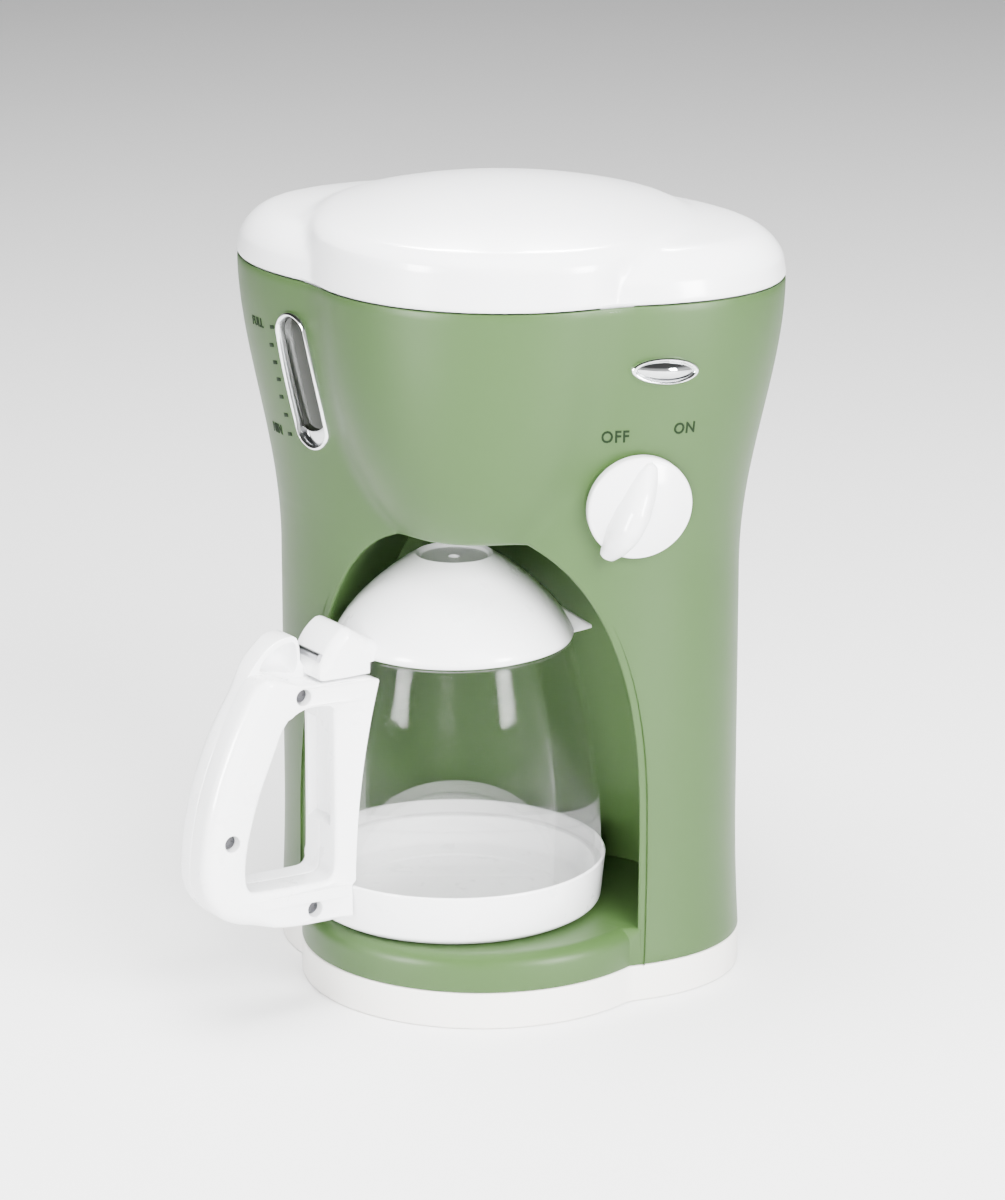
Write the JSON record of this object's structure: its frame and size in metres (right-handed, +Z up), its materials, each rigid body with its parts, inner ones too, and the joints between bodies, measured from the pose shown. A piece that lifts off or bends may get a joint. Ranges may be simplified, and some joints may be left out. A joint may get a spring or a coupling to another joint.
{
  "type": "toy coffee maker",
  "caption": "Toy drip coffee maker with a waisted lobed housing, hinged domed lid, turning switch knob, level window and a lidded carafe with a looped handle in a round brew recess.",
  "frame": {"origin": "on the table plane under the middle of the housing's main ellipse", "axes": "+Z up, -Y towards the front with the brew recess, +X to the right seen from the front"},
  "size_m": [0.1656, 0.1703, 0.2353],
  "materials": {
    "body_green": "smooth satin injection moulded sage green plastic",
    "lid_white": "glossy white plastic",
    "base_white": "satin warm white plastic",
    "carafe_white": "glossy white plastic",
    "clear_plastic": "clear transparent plastic",
    "chrome_trim": "bright plated plastic",
    "window_clear": "clear transparent plastic over a dark channel",
    "dark_plastic": "plain dark plastic",
    "inner_white": "plain unpolished white plastic",
    "rubber_black": "matt rubber",
    "steel": "zinc plated steel",
    "board_green": "laminated board with green solder mask",
    "lamp_red": "tinted clear resin",
    "cell_sleeve": "printed foil sleeve over steel",
    "contact_metal": "nickel plated spring steel"
  },
  "bodies": {
    "machine": {"front_shell": "body_green", "rear_shell": "body_green", "base_plinth": "base_white", "rubber_feet": "rubber_black", "base_screws": "steel", "rear_screws": "steel", "top_deck": "inner_white", "water_tank": "inner_white", "outlet_nozzle": "inner_white", "window_bezel": "chrome_trim", "window_lens": "window_clear", "gauge_channel": "dark_plastic", "indicator_bezel": "chrome_trim", "indicator_lens": "window_clear", "led_lamp": "lamp_red", "circuit_board": "board_green", "rotary_switch": "dark_plastic", "speaker": "dark_plastic", "battery_box": "dark_plastic", "battery_cells": "cell_sleeve", "battery_contacts": "contact_metal", "lid_hinge_pin": "steel"},
    "top_lid": {"top_lid": "lid_white"},
    "knob": {"knob": "lid_white", "knob_shaft": "dark_plastic"},
    "carafe": {"carafe_glass": "clear_plastic", "carafe_collar": "carafe_white", "handle_near_half": "carafe_white", "handle_far_half": "carafe_white", "handle_screws": "steel", "carafe_lid_pin": "steel"},
    "carafe_lid": {"carafe_lid": "carafe_white"},
    "battery_door": {"battery_door": "body_green", "door_screw": "steel"}
  },
  "joints": [
    {"name": "top_lid_hinge", "type": "hinge", "parent": "machine", "child": "top_lid", "pos_m": [0, 0.0594, 0.211], "axis": [-1, 0, 0], "range_deg": [0, 100]},
    {"name": "knob_turn", "type": "hinge", "parent": "machine", "child": "knob", "pos_m": [0.0528, -0.03522, 0.1516], "axis": [0.5914, -0.7971, -0.1219], "range_deg": [0, 53]},
    {"name": "carafe_slide", "type": "slide", "parent": "machine", "child": "carafe", "axis": [0, -1, 0], "range_m": [0, 0.12]},
    {"name": "carafe_lid_hinge", "type": "hinge", "parent": "carafe", "child": "carafe_lid", "pos_m": [-0.03468, -0.06876, 0.107], "axis": [0.8192, -0.5736, 0], "range_deg": [0, 5]},
    {"name": "battery_door_slide", "type": "slide", "parent": "machine", "child": "battery_door", "axis": [0, 1, 0], "range_m": [0, 0.03]}
  ]
}
